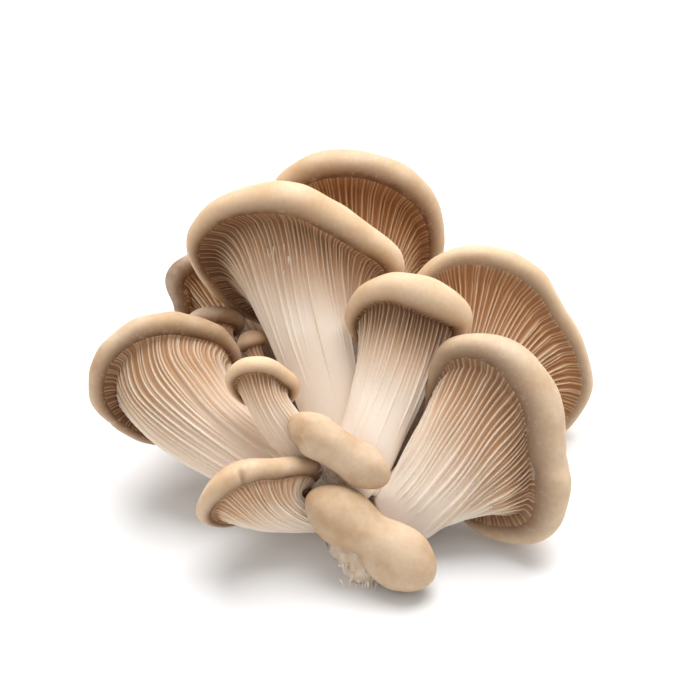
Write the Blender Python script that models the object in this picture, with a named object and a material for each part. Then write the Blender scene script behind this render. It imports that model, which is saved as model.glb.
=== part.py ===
"""Clump of oyster mushrooms, cut from its log and laid on a table with its gills to the front.

Every mushroom is two pieces: the cream stem, which runs up and flares into the gills, and the tan cap, which
lies over the gills and rolls in round their ends. All the stems grow from one butt, whose front shows the cut.

Places are given in millimetres on the clump's own face, as one looks straight at it: across to the right, up
the face, and back behind it. The face leans back, so that it looks up at FACE_LOOKS_UP degrees.
"""

import math

import bpy
import numpy as np

MM = 0.001
FACE_LOOKS_UP = 42.0
TABLE_DROP = 8.1  # the face's own zero point stands this far above the table
FOOTPRINT_MIDDLE = (0.0, 79.0)  # the middle of the clump's footprint, from the face's own zero point

GILL_SKIN = 1.2  # flesh left behind long gills, on the stem's side of the joint with the cap
JOINT_GAP = 0.45  # clear space over the joint between the gills and their cap
JOINT_LIFT = 0.6  # the cap's side is lifted by this share of it too, which keeps steep joints clear
ROLL_GAP = 0.45  # clear space between the ends of the gills and the cap's rolled edge
STEM_GAP = 1.0  # clear space left where two stems press each other flat
TALLEST_GILL = 1.8
GILL_SHARE = 0.06  # a small cap's gills are this share of its reach
GILL_RISE = (-0.6, 0.3)  # where the gills begin on the stem, and where they are full, with the throat at 0
GILL_FALL = (0.7, 1.0)  # where they begin to run out, and where they meet the cap's rolled edge
GILL_LOSS = 0.65  # the share of their height that they lose there
GILL_ROOM = 12.0  # a gill that runs less far than this from throat to edge is lower, with less flesh behind it

BUTT_MIDDLE = (7.5, 18.5, 30)
BUTT_RADIUS = 14.0
BUTT_COLUMNS = 20
BUTT_ROWS = 9
PRESS_STEPS = 46  # tries at drawing a point in from its full place to PRESS_LEAST of the way out
PRESS_LEAST = 0.1
CORE_COUNT = 23  # places along a stem where it keeps the others off, up to CORE_REACH of its length
CORE_REACH = 1.1
STEP = 0.002  # the share of a turn, or of the way along, over which a slope is measured
EDGE_STEPS = 360  # steps in which the cap's edge is measured

STEM_SHARES = (-1.0, -0.75, -0.5, -0.25, 0.0)  # rings from the foot of a stem to its throat
FLARE_SHARES = (0.17, 0.35, 0.55, 0.75, 0.9)  # rings from the throat out to the ends of the gills
JOINT_SHARES = (0.9, 0.75, 0.6)  # rings of the joint between cap and gills, inward
FLARE_NEAR = 0.36  # how far the flare keeps on along the stem, as a share of its span
FLARE_RISE = 0.9  # and at most, as a share of how far it rises above the throat
FLARE_FAR = 0.30  # how far it comes in level from the cap's rolled edge
ROLL_UNDER = (1.0, 0.65, 0.27)  # rings round the rolled edge under its outermost line, as shares of its curl
ROLL_OVER = (10, 50)  # rings over that line, in degrees
DOME_SHARES = (0.3, 0.65)  # rings over the top of the cap, as shares of the way in
STEM_TAPER = 1.3  # above 1, a stem widens more near its throat
END_DRAW = 0.97  # the place on the flare towards which the ends of the gills are drawn back
FLESH_ROUGHNESS = 0.65

SKIN = {
    "cap_skin": (0.58, 0.41, 0.26, 1.0),
    "pale_flesh": (0.80, 0.68, 0.54, 1.0),
    "cut_flesh": (0.78, 0.66, 0.50, 1.0),
}

# Each mushroom, in millimetres on the clump's face. Its cap has a middle, the way its top faces, how far its
# edge reaches at twelve places, counted from its right and anticlockwise as seen from under the cap, the half
# thickness of its rolled edge at four, how many degrees that edge curls under, and how far its top swells. The
# stem runs from its foot, bending past a point, to its throat. It has a half width at each end, and is deep as
# a share of that.
MUSHROOMS = {
    "tall_centre": {
        "middle": (-15, 117, 36), "faces": (0.12, 0.66, 0.74),
        "reach": (36, 27.5, 26, 29.5, 32.5, 37, 41, 38.5, 37.5, 38, 37, 35.5),
        "roll": (4.5, 6.0, 3.3, 3.0), "curl": 135, "dome": 9,
        "foot": (4, 40, 36), "bend": (-8, 66, 38), "throat": (-13, 95, 41),
        "thick": (10, 17), "deep": 0.7, "gills": 22,
    },
    "back_top": {
        "middle": (3, 123, 76), "faces": (-0.05, 0.57, 0.82),
        "reach": (33.5, 34.5, 35.5, 37.5, 39, 37.5, 35.5, 37, 43.5, 49.5, 44.5, 36),
        "roll": (4.5, 5.5, 4.0, 4.0), "curl": 130, "dome": 10,
        "foot": (8, 42, 50), "bend": (4, 76, 66), "throat": (3, 104, 77),
        "thick": (8, 12), "deep": 0.8, "gills": 18,
    },
    "back_right": {
        "middle": (56, 85, 54), "faces": (-0.05, 0.38, 0.92),
        "reach": (29.5, 26, 30, 36, 42, 40, 33, 31, 32, 37, 41.5, 37.5),
        "roll": (3.5, 4.5, 3.0, 3.5), "curl": 130, "dome": 10,
        "foot": (14, 32, 42), "bend": (32, 57, 44), "throat": (46, 72, 48),
        "thick": (8.5, 10), "deep": 0.8, "gills": 20,
    },
    "mid_right": {
        "middle": (25, 95, 25), "faces": (0.05, 0.72, 0.69),
        "reach": (19, 17, 16.5, 18, 21.5, 24, 25, 25, 24, 22, 18.5, 18),
        "roll": (3.5, 5.0, 3.0, 3.0), "curl": 130, "dome": 5,
        "foot": (2, 36, 23), "bend": (11, 56, 26), "throat": (21, 83, 26),
        "thick": (10, 10), "deep": 0.75, "gills": 18,
    },
    "big_right": {
        "middle": (54, 52, 17), "faces": (0.42, 0.2, 0.88),
        "reach": (23.5, 25.5, 30.5, 37, 39, 33, 29.5, 31, 33, 35.5, 36.5, 29),
        "roll": (7.5, 5.5, 2.5, 5.0), "curl": 140, "dome": 10,
        "foot": (17, 24.5, 23), "bend": (29, 31, 15), "throat": (41.5, 41, 12.6),
        "thick": (12, 15.5), "deep": 0.6, "gills": 22,
    },
    "big_left": {
        "middle": (-62, 74, 32), "faces": (-0.42, 0.5, 0.76),
        "reach": (28, 26, 24, 26, 29, 30.5, 29, 26.5, 26.5, 29, 31, 29),
        "roll": (3.5, 4.5, 3.5, 3.0), "curl": 130, "dome": 7,
        "foot": (-5, 31, 36), "bend": (-25, 37, 34), "throat": (-49, 58, 31),
        "thick": (11, 16), "deep": 0.7, "gills": 22,
    },
    "small_left": {
        "middle": (-29, 71, 12), "faces": (-0.1, 0.76, 0.64),
        "reach": (13, 11.5, 12.5, 14, 15, 14, 11.5, 10.5, 11, 12.5, 13, 13.5),
        "roll": (2.5, 3.0, 2.2, 2.0), "curl": 130, "dome": 3,
        "foot": (-4, 36, 28), "bend": (-15, 45, 24), "throat": (-26.5, 63.5, 12.5),
        "thick": (6, 6), "deep": 0.8, "gills": 12,
    },
    "front_left": {
        "middle": (-30, 33, 12), "faces": (-0.45, 0.78, 0.44),
        "reach": (20.5, 18.5, 19, 23, 26, 25, 21, 17, 14.5, 13.5, 14.5, 18),
        "roll": (2.8, 4.0, 3.0, 2.5), "curl": 130, "dome": 4,
        "foot": (-5, 25, 28), "bend": (-14, 20, 21), "throat": (-24.5, 26.5, 12.5),
        "thick": (7, 8.5), "deep": 0.8, "gills": 14,
    },
    "front_small": {
        "middle": (-2, 49, 6), "faces": (0.3, 0.45, -0.8), "across": (0.85, -0.53, 0),
        "reach": (20, 15, 9, 7.5, 9, 15, 20, 15, 9, 7.5, 9, 15),
        "roll": (4.5, 3.5, 4.5, 3.5), "curl": 95, "dome": 3,
        "foot": (5, 29, 20), "bend": (-6, 39.5, 20), "throat": (-4.7, 44.5, 13),
        "thick": (9, 3), "deep": 0.7, "gills": 20,
    },
    "front_foot": {
        "middle": (8.5, 19, 7), "faces": (-0.1, -0.15, -0.95), "across": (0.85, -0.53, 0.24),
        "reach": (26, 20, 12, 10, 12, 20, 26, 20, 12, 10, 12, 20),
        "roll": (6.0, 5.0, 6.0, 5.0), "curl": 75, "dome": 3,
        "foot": (9.6, 20.7, 18.2), "bend": (9.4, 20.4, 16.4), "throat": (9.3, 20.2, 14.4),
        "thick": (4, 4), "deep": 0.8, "gills": 20,
    },
    "back_left": {
        "middle": (-43, 100, 74), "faces": (-0.3, 0.25, 0.92),
        "reach": (15, 17, 20, 22, 23.5, 25, 20, 22, 29, 34, 28, 19),
        "roll": (3.0, 4.0, 3.5, 3.0), "curl": 130, "dome": 7,
        "foot": (-4, 42, 52), "bend": (-14, 62, 62), "throat": (-36, 88, 66),
        "thick": (6, 6.5), "deep": 0.8, "gills": 12,
    },
    "behind_left": {
        "middle": (-47, 92, 52), "faces": (-0.2, 0.8, 0.55),
        "reach": (11, 10, 9, 9, 10, 11, 11, 10, 9.5, 9.5, 9.5, 10.5),
        "roll": (3.0, 3.0, 3.0, 2.5), "curl": 105, "dome": 3,
        "foot": (-12, 46, 60), "bend": (-34, 62, 62), "throat": (-45, 86, 52),
        "thick": (4, 3), "deep": 0.9, "gills": 10,
    },
    "bud": {
        "middle": (-33, 86, 49), "faces": (-0.3, 0.9, 0.2),
        "reach": (5.4, 5.4, 5, 4.8, 5, 5.2, 5.4, 5.5, 5.6, 5.6, 5.6, 5.5),
        "roll": (2.0, 2.0, 2.0, 2.0), "curl": 95, "dome": 2,
        "foot": (-9, 46, 46), "bend": (-23, 60, 46), "throat": (-32, 79, 50),
        "thick": (2.5, 1.5), "deep": 1.0, "gills": 10,
    },
}


def aim(direction):
    """A direction on the clump's face, turned into the world and made one unit long."""
    across, up, back = np.moveaxis(np.asarray(direction, float), -1, 0)
    sine, cosine = math.sin(math.radians(FACE_LOOKS_UP)), math.cos(math.radians(FACE_LOOKS_UP))
    turned = np.stack([across, up * sine + back * cosine, up * cosine - back * sine], axis=-1)
    return turned / np.linalg.norm(turned, axis=-1, keepdims=True)


def place(point):
    """A point on the clump's face, as a world point in millimetres."""
    point = np.asarray(point, float)
    length = np.linalg.norm(point)
    start = np.array([-FOOTPRINT_MIDDLE[0], -FOOTPRINT_MIDDLE[1], TABLE_DROP])
    return start + (aim(point) * length if length else 0.0)


def unit(vectors):
    return vectors / np.maximum(np.linalg.norm(vectors, axis=-1, keepdims=True), 1e-9)


def round_about(values, turn):
    """A smooth closed curve through evenly spaced values, read at the given shares of a full turn."""
    values = np.asarray(values, float)
    count = len(values)
    place_on = np.asarray(turn) * count
    first = np.floor(place_on).astype(int)
    t = place_on - first
    before, here, after, beyond = (values[(first + k) % count] for k in (-1, 0, 1, 2))
    slope_here, slope_after = (after - before) / 2, (beyond - here) / 2
    return (
        here * (2 * t**3 - 3 * t**2 + 1) + slope_here * (t**3 - 2 * t**2 + t)
        + after * (3 * t**2 - 2 * t**3) + slope_after * (t**3 - t**2)
    )


def smooth(low, high, value):
    """0 below low, 1 above high, and an even S between them."""
    t = np.clip((value - low) / (high - low), 0, 1)
    return t * t * (3 - 2 * t)


class Mushroom:
    """The surfaces of one mushroom, each a grid of points: rows run along it and columns run round it."""

    def __init__(self, name, spec):
        self.name = name
        self.spec = spec
        self.top = aim(spec["faces"])
        right = aim(spec.get("across", (1, 0, 0)))
        self.right = unit(right - (right @ self.top) * self.top)
        self.over = np.cross(self.right, self.top)
        self.middle = place(spec["middle"])
        self.turns = self.even_turns()
        self.spine = [place(spec[key]) for key in ("foot", "bend", "throat")]
        shares = np.linspace(0, CORE_REACH, CORE_COUNT)
        frames = [self.frame_at(share) for share in shares]
        self.cores, self.core_aheads, self.core_sides, self.core_fronts = np.swapaxes(np.array(frames), 0, 1)
        self.core_radii = self.stem_radius(shares)

    def even_turns(self):
        """Shares of a turn that space the gills evenly along the cap's edge."""
        fine = np.linspace(0, 1, EDGE_STEPS + 1)
        edge = self.edge(fine)
        run = np.concatenate([[0], np.cumsum(np.linalg.norm(np.diff(edge, axis=0), axis=1))])
        columns = 2 * self.spec["gills"]
        return np.interp(np.arange(columns) / columns, run / run[-1], fine)

    def edge(self, turns):
        """The outermost line of the cap."""
        angle = 2 * np.pi * np.asarray(turns)[:, None]
        reach = round_about(self.spec["reach"], turns)[:, None]
        return self.middle + reach * (np.cos(angle) * self.right + np.sin(angle) * self.over)

    def roll(self, turns, angle):
        """Points round the rolled edge, angle degrees up from its outermost line."""
        edge = self.edge(turns)
        along = unit(self.edge(turns + STEP) - self.edge(turns - STEP))
        outward = unit(np.cross(along, self.top))
        outward *= np.sign(np.sum(outward * (edge - self.middle), axis=1, keepdims=True))
        radius = round_about(self.spec["roll"], turns)[:, None]
        turned = math.radians(angle)
        return edge + radius * (math.cos(turned) - 1) * outward + radius * math.sin(turned) * self.top

    def spine_at(self, share):
        """Point and direction of the stem's middle line, from 0 at its foot to 1 at its throat."""
        foot, bend, throat = self.spine
        point = (1 - share) ** 2 * foot + 2 * share * (1 - share) * bend + share**2 * throat
        return point, unit((1 - share) * (bend - foot) + share * (throat - bend))

    def frame_at(self, share):
        """The stem's middle line, with the ways ahead, to its broad side and to its front."""
        point, ahead = self.spine_at(share)
        side = unit(self.right - (self.right @ ahead) * ahead)
        return point, ahead, side, np.cross(side, ahead)

    def stem_radius(self, share):
        low, high = self.spec["thick"]
        return low + (high - low) * share**STEM_TAPER

    def stem_ring(self, share, turns):
        point, _, side, front = self.frame_at(share)
        angle = 2 * np.pi * np.asarray(turns)[:, None]
        radius = self.stem_radius(share)
        return point + radius * (np.cos(angle) * side + self.spec["deep"] * np.sin(angle) * front)

    def flare(self, share, turns):
        """The bare surface under the gills, from 0 at the throat to 1 where they end at the rolled edge."""
        low = self.stem_ring(1.0, turns)
        throat, ahead = self.spine_at(1.0)
        curl = math.radians(self.spec["curl"])
        end = self.roll(turns, -self.spec["curl"])
        away = unit(end - throat - ((end - throat) @ self.top)[:, None] * self.top)
        onward = -math.sin(curl) * away - math.cos(curl) * self.top
        span = np.linalg.norm(end - low, axis=1, keepdims=True)
        rise = np.maximum((end - low) @ ahead, 0.0)[:, None]
        near = low + np.minimum(FLARE_NEAR * span, FLARE_RISE * rise) * ahead
        far = end + FLARE_FAR * span * onward
        early, late = 1 - share, share
        return early**3 * low + 3 * late * early**2 * near + 3 * late**2 * early * far + late**3 * end

    def skin(self, along, turns):
        """The bare surface, from -1 at the foot past 0 at the throat to 1 at the roll, and the way it faces."""
        point = self.stem_ring(along + 1, turns) if along < 0 else self.flare(along, turns)
        low, high = max(along - STEP, -1.0), min(along + STEP, 1.0)
        if along < 0:
            high = min(high, 0.0)
            ahead = self.stem_ring(high + 1, turns) - self.stem_ring(low + 1, turns)
            beside = self.stem_ring(along + 1, turns + STEP) - self.stem_ring(along + 1, turns - STEP)
        else:
            low = max(low, 0.0)
            ahead = self.flare(high, turns) - self.flare(low, turns)
            beside = self.flare(along, turns + STEP) - self.flare(along, turns - STEP)
        return point, unit(np.cross(ahead, beside))

    def room(self, turns):
        """How much of its full height a gill has room for: 1 where it runs far enough from throat to edge."""
        span = np.linalg.norm(self.flare(1.0, turns) - self.flare(0.0, turns), axis=1)
        return np.minimum(1.0, span / GILL_ROOM)

    def gill_height(self, along, turns):
        """How far a gill stands out: it fades in up the stem, and out again where it meets the roll."""
        tall = min(TALLEST_GILL, GILL_SHARE * np.mean(self.spec["reach"]))
        return tall * self.room(turns) * smooth(*GILL_RISE, along) * (1 - GILL_LOSS * smooth(*GILL_FALL, along))

    def stem_rings(self):
        """Rings of the stem piece from its foot, up the outside, and back in over the joint with the cap."""
        ridges = np.arange(len(self.turns)) % 2 == 0
        rings = [self.spine_at(0)[0][None]]
        for along in STEM_SHARES + FLARE_SHARES:
            point, out = self.skin(along, self.turns)
            if along > 0:
                point[1::2] = (point[::2] + np.roll(point[::2], -1, axis=0)) / 2  # straight, as the joint is
            rings.append(point + (ridges * self.gill_height(along, self.turns))[:, None] * out)
        end, _ = self.skin(1.0, self.turns)
        before, _ = self.skin(END_DRAW, self.turns)
        end = end + ROLL_GAP * unit(before - end)
        end[1::2] = (end[::2] + np.roll(end[::2], -1, axis=0)) / 2
        rings.append(end)
        return rings + self.joint(0.0)

    def joint(self, gap):
        """The face between gills and cap, a gap behind the gills' flesh: rings inward, then its middle."""
        turns = self.turns[::2]
        depth = (gap + GILL_SKIN * self.room(turns))[:, None]
        rings = []
        for share in JOINT_SHARES:
            point, out = self.skin(share, turns)
            rings.append(point - depth * out + JOINT_LIFT * gap * self.top)
        return rings + [rings[-1].mean(axis=0)[None] + gap * self.top]

    def cap_rings(self):
        """Rings of the cap piece from the middle of its underside, round its rolled edge and over its top."""
        turns = self.turns[::2]
        rings = self.joint(JOINT_GAP)[::-1]
        for angle in [-share * self.spec["curl"] for share in ROLL_UNDER] + list(ROLL_OVER):
            rings.append(self.roll(turns, angle))
        brow = self.roll(turns, 90)
        crown = self.middle + np.mean(self.spec["roll"]) * self.top
        for share in (0.0,) + DOME_SHARES + (1.0,):
            swell = self.spec["dome"] * (1 - (1 - share) ** 2)
            ring = crown + (1 - share) * (brow - crown) + swell * self.top
            rings.append(ring if share < 1 else ring[:1])
        return rings

    def inside(self, points):
        """How far points are outside the stem, below 0 within it, on the scale of its half width."""
        away = points[:, None, :] - self.cores
        flat = np.stack([
            np.sum(away * self.core_sides, axis=2),
            np.sum(away * self.core_fronts, axis=2) / self.spec["deep"],
            np.sum(away * self.core_aheads, axis=2),
        ], axis=2)
        return np.min(np.linalg.norm(flat, axis=2) - self.core_radii, axis=1)


def press(points, anchor, own, others):
    """Draw points in to their anchor until each is nearer its own stem than any other, by STEM_GAP."""
    shares = np.linspace(1.0, PRESS_LEAST, PRESS_STEPS)[:, None, None]
    tried = anchor + shares * (points - anchor)
    flat = tried.reshape(-1, 3)
    free = np.min([other(flat) for other in others], axis=0) - own(flat) >= STEM_GAP
    free = free.reshape(PRESS_STEPS, len(points))
    first = np.where(free.any(axis=0), free.argmax(axis=0), PRESS_STEPS - 1)
    return tried[first, np.arange(len(points))]


def faces_between(low, high, low_count, high_count, lean):
    """Triangles from one ring to the next. A ring may be one point, or have half as many as the one before."""
    faces = []
    if low_count == 1:
        return [(low, high + c, high + (c + 1) % high_count) for c in range(high_count)]
    if high_count == 1:
        return [(low + c, high, low + (c + 1) % low_count) for c in range(low_count)]
    if low_count == 2 * high_count:
        for c in range(high_count):
            first, middle, last = low + 2 * c, low + 2 * c + 1, low + (2 * c + 2) % low_count
            here, there = high + c, high + (c + 1) % high_count
            faces += [(first, here, middle), (middle, here, there), (middle, there, last)]
        return faces
    for c in range(low_count):
        d = (c + 1) % low_count
        if lean > 0:
            faces += [(low + c, high + c, high + d), (low + c, high + d, low + d)]
        else:
            faces += [(low + c, high + c, low + d), (low + d, high + c, high + d)]
    return faces


def add_piece(name, rings, skin, inward_rows=0):
    """A closed piece from rings of points in millimetres. The last inward_rows of them lean the other way."""
    counts = [len(ring) for ring in rings]
    starts = np.concatenate([[0], np.cumsum(counts)]).astype(int)
    faces = []
    for row in range(len(rings) - 1):
        lean = -1 if row >= len(rings) - 1 - inward_rows else 1
        faces += faces_between(int(starts[row]), int(starts[row + 1]), counts[row], counts[row + 1], lean)
    points = np.concatenate(rings) * MM
    points[:, 2] = np.maximum(points[:, 2], 0.0)
    mesh = bpy.data.meshes.new(name)
    mesh.from_pydata(points.tolist(), [], faces)
    mesh.materials.append(material(skin))
    mesh.shade_smooth()
    piece = bpy.data.objects.new(name, mesh)
    cluster.objects.link(piece)
    return piece


def material(name):
    found = bpy.data.materials.get(name)
    if found:
        return found
    made = bpy.data.materials.new(name)
    made.use_nodes = True
    shader = made.node_tree.nodes["Principled BSDF"]
    shader.inputs["Base Color"].default_value = SKIN[name]
    shader.inputs["Roughness"].default_value = FLESH_ROUGHNESS
    shader.inputs["Metallic"].default_value = 0.0
    return made


for leftover in list(bpy.data.objects):
    bpy.data.objects.remove(leftover, do_unlink=True)
cluster = bpy.data.collections.new("oyster_mushroom_cluster")
bpy.context.scene.collection.children.link(cluster)

mushrooms = [Mushroom(name, spec) for name, spec in MUSHROOMS.items()]
butt_middle = place(BUTT_MIDDLE)


def inside_butt(points):
    return np.linalg.norm(points - butt_middle, axis=1) - BUTT_RADIUS


for mushroom in mushrooms:
    others = [other.inside for other in mushrooms if other is not mushroom] + [inside_butt]
    rings = mushroom.stem_rings()
    for row, along in enumerate(STEM_SHARES, start=1):
        rings[row] = press(rings[row], mushroom.spine_at(along + 1)[0], mushroom.inside, others)
    add_piece("stem_" + mushroom.name, rings, "pale_flesh", inward_rows=len(JOINT_SHARES))
    add_piece("cap_" + mushroom.name, mushroom.cap_rings(), "cap_skin")

butt_rings = []
for row in range(1, BUTT_ROWS):
    tilt = math.pi * row / BUTT_ROWS
    turn = 2 * np.pi * np.arange(BUTT_COLUMNS) / BUTT_COLUMNS
    level = np.full(BUTT_COLUMNS, -np.cos(tilt))
    round_butt = np.stack([np.sin(tilt) * np.cos(turn), -np.sin(tilt) * np.sin(turn), level], axis=1)
    ring = butt_middle + BUTT_RADIUS * round_butt
    butt_rings.append(press(ring, butt_middle, inside_butt, [mushroom.inside for mushroom in mushrooms]))
foot_of_butt = butt_rings[0].mean(axis=0)[None] * (1, 1, 0)
add_piece("butt", [foot_of_butt] + butt_rings + [butt_rings[-1].mean(axis=0)[None]], "cut_flesh")
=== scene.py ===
"""Clump of oyster mushrooms, cut from its log and laid on a table with its gills to the viewer.

The script goes round the clump as it grew. The first section, the tall mushroom in the middle, also gives the
shapes and finishes that all of them share. Then come the others, the butt that carries them, and the studio.
Places are in millimetres on the clump's own face: across to the right, up the face, and back behind it.
"""

import math

import bpy
import numpy as np
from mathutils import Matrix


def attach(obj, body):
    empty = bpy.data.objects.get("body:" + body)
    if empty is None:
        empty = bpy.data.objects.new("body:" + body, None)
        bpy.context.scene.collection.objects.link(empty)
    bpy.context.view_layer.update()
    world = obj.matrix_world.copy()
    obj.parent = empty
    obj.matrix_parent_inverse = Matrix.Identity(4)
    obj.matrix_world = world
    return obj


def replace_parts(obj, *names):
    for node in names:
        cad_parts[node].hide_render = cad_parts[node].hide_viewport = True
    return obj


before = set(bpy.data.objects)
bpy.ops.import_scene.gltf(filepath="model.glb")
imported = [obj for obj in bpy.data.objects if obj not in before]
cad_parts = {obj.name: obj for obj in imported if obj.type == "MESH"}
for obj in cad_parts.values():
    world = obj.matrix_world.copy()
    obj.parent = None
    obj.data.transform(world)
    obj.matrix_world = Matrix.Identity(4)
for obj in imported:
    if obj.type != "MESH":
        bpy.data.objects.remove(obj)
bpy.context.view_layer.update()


# The tall mushroom in the middle
# The largest of the clump: a pale stem that widens like a trumpet into gills, under a tan cap rolled in round
# them. Stem and gills are one flesh, grown from the butt; the cap is the same flesh under a thin smooth skin.

MM = 0.001
FACE_LOOKS_UP = math.radians(42)  # the clump lies back, so its gilled face looks up at this angle
FACE_ZERO = np.array([0.0, -79.0, 8.1])  # the face's own zero point, from the middle of the footprint
FLESH_LEFT = 1.2  # flesh behind the gills that stays with the stem
SKIN_GAP = 0.45  # the joint from there to the cap's own flesh


def face_way(way):
    """A way given across, up and back on the clump's face, turned into the world and made one long."""
    across, up, back = way
    sine, cosine = math.sin(FACE_LOOKS_UP), math.cos(FACE_LOOKS_UP)
    turned = np.array([across, up * sine + back * cosine, up * cosine - back * sine])
    return turned / np.linalg.norm(turned)


def face_place(spot):
    """A place on the clump's face, as a world place in millimetres."""
    return FACE_ZERO + face_way(spot) * np.linalg.norm(spot)


def unit(ways):
    """Ways made one long."""
    return ways / np.maximum(np.linalg.norm(ways, axis=-1, keepdims=True), 1e-9)


def ease(low, high, values):
    """0 below low, 1 above high, and an even S between them."""
    t = np.clip((values - low) / (high - low), 0, 1)
    return t * t * (3 - 2 * t)


def closed_curve(values, turns):
    """A smooth closed curve through evenly spaced values: cubic pieces with the slope of their neighbours."""
    values = np.asarray(values, float)
    spot = np.asarray(turns) * len(values)
    first = np.floor(spot).astype(int)
    t = spot - first
    before, here, after, beyond = (values[(first + k) % len(values)] for k in (-1, 0, 1, 2))
    rise, fall = (after - before) / 2, (beyond - here) / 2
    return (here * (2 * t**3 - 3 * t**2 + 1) + rise * (t**3 - 2 * t**2 + t)
            + after * (3 * t**2 - 2 * t**3) + fall * (t**3 - t**2))


def drift(spots, length, seed, waves=9):
    """Smooth uneven ground, mostly from -1 to 1: a sum of sine waves of about this length, in drawn ways."""
    draw = np.random.default_rng(seed)
    total = 0.0
    for _ in range(waves):
        way = unit(draw.normal(size=spots.shape[-1]))
        crest_to_crest = length * draw.uniform(0.7, 1.5)
        phase = draw.uniform(0, 6.28)
        total = total + np.sin(spots @ way * 2 * np.pi / crest_to_crest + phase)
    return total / math.sqrt(waves)


class Mushroom:
    """The lines that one mushroom is drawn from: the edge of its cap and the middle line of its stem.

    middle, faces: the cap's middle and the way its top faces. across: the way that share 0 of a turn points,
    from where the shares run anticlockwise. reach: how far the edge is from the middle. roll: radius of the
    rolled edge. curl: how many degrees it turns under. dome: how far the crown rises over it. foot, bend,
    throat: the stem's middle line. thick: its radius at the foot and at the throat. deep: how deep it is for
    its width. hug, bowl: see flare. drawn: how many times bare draws its lines straight. seed: of its draws.
    reach, roll, hug and bowl are values at even shares of a turn.
    """

    def __init__(self, middle, faces, reach, roll, curl, dome, foot, bend, throat, thick, deep, seed,
                 hug=(0.4, 0.4, 0.4, 0.4), bowl=(0.4, 0.4, 0.4, 0.4), drawn=300, across=(1, 0, 0)):
        self.top = face_way(faces)
        right = face_way(across)
        self.right = unit(right - (right @ self.top) * self.top)
        self.over = np.cross(self.right, self.top)
        self.middle = face_place(middle)
        self.reach, self.roll, self.curl, self.dome = reach, roll, curl, dome
        self.foot, self.bend, self.throat = face_place(foot), face_place(bend), face_place(throat)
        self.thick, self.deep, self.seed = thick, deep, seed
        self.hug, self.bowl, self.drawn = hug, bowl, drawn
        self.fine = np.linspace(0, 1, 721)
        steps = np.linalg.norm(np.diff(self.edge(self.fine), axis=0), axis=1)
        run = np.concatenate([[0], np.cumsum(steps)])
        self.girth = run[-1]
        self.run = run / run[-1]

    def even_turns(self, count):
        """Shares of a turn that space count lines evenly along the cap's edge."""
        return np.interp(np.arange(count) / count, self.run, self.fine)

    def edge(self, turns):
        """The outermost line of the cap: its reach from the middle, the way each share of a turn points."""
        angle = 2 * np.pi * turns[..., None]
        reach = closed_curve(self.reach, turns)[..., None]
        return self.middle + reach * (np.cos(angle) * self.right + np.sin(angle) * self.over)

    def rolled(self, turns, degrees, under=0.0):
        """Places round the rolled edge, a circle across the edge's line, or as far under its skin as told,
        and the way that circle runs there."""
        step = 1e-3
        edge = self.edge(turns)
        along = unit(self.edge(turns + step) - self.edge(turns - step))
        outward = unit(np.cross(along, self.top))
        outward = outward * np.sign(np.sum(outward * (edge - self.middle), axis=-1, keepdims=True))
        radius = closed_curve(self.roll, turns)[..., None]
        lift = np.radians(degrees)[..., None]
        arm = np.cos(lift) * outward + np.sin(lift) * self.top
        place = edge - radius * outward + (radius - under) * arm
        return place, np.sin(lift) * outward - np.cos(lift) * self.top

    def stem(self, share, turns):
        """Rings round a bent middle line, from 0 at the foot to 1 at the throat, flatter from front to back,
        and the way that line runs there."""
        share = share[..., None]
        early = 1 - share
        spine = early**2 * self.foot + 2 * share * early * self.bend + share**2 * self.throat
        ahead = unit(early * (self.bend - self.foot) + share * (self.throat - self.bend))
        side = unit(self.right - np.sum(self.right * ahead, axis=-1, keepdims=True) * ahead)
        front = np.cross(side, ahead)
        radius = self.thick[0] + (self.thick[1] - self.thick[0]) * np.clip(share, 0, 2) ** 1.3
        angle = 2 * np.pi * turns[..., None]
        return spine + radius * (np.cos(angle) * side + self.deep * np.sin(angle) * front), ahead

    def flare(self, share, turns):
        """The trumpet under the gills: a cubic curve from the throat's ring out to the cap's rolled edge. Its
        first handle runs on along the stem for hug of its span, the second comes in from the roll for bowl of
        it, and where both are long the cap is hollow beside the stem."""
        low, ahead = self.stem(np.ones_like(share * turns), turns + 0 * share)
        end = self.rolled(turns + 0 * share, np.full_like(share * turns, -self.curl))[0]
        away = unit(end - self.throat - ((end - self.throat) @ self.top)[..., None] * self.top)
        curl = math.radians(self.curl)
        onward = -math.sin(curl) * away - math.cos(curl) * self.top
        span = np.linalg.norm(end - low, axis=-1, keepdims=True)
        rise = np.maximum(np.sum((end - low) * ahead, axis=-1, keepdims=True), 0)
        near = low + np.minimum(closed_curve(self.hug, turns)[..., None] * span, 0.9 * rise) * ahead
        far = end + closed_curve(self.bowl, turns)[..., None] * span * onward
        late = share[..., None]
        early = 1 - late
        return early**3 * low + 3 * late * early**2 * near + 3 * late**2 * early * far + late**3 * end

    def bare(self, along, turns):
        """The whole bare surface on a grid: -1 at the foot, 0 at the throat, 1 where the gills meet the roll.
        Each row is drawn towards the mean of its neighbours many times over, which pulls the lines from foot
        to roll nearly straight, as gills run, and leaves the hollow behind the roll as it is."""
        below = self.stem(np.minimum(along, 0) + 1 + 0 * turns, turns + 0 * along)[0]
        above = self.flare(np.maximum(along, 0) + 0 * turns, turns + 0 * along)
        grid = np.where((along < 0)[..., None], below, above)
        pull = 0.5 * (1 - ease(0.5, 0.9, along[1:-1, 0]))
        step = np.eye(len(along))
        inner = np.arange(1, len(along) - 1)
        step[inner, inner] -= pull
        step[inner, inner - 1] += pull / 2
        step[inner, inner + 1] += pull / 2
        return np.tensordot(np.linalg.matrix_power(step, self.drawn), grid, 1)

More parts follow.
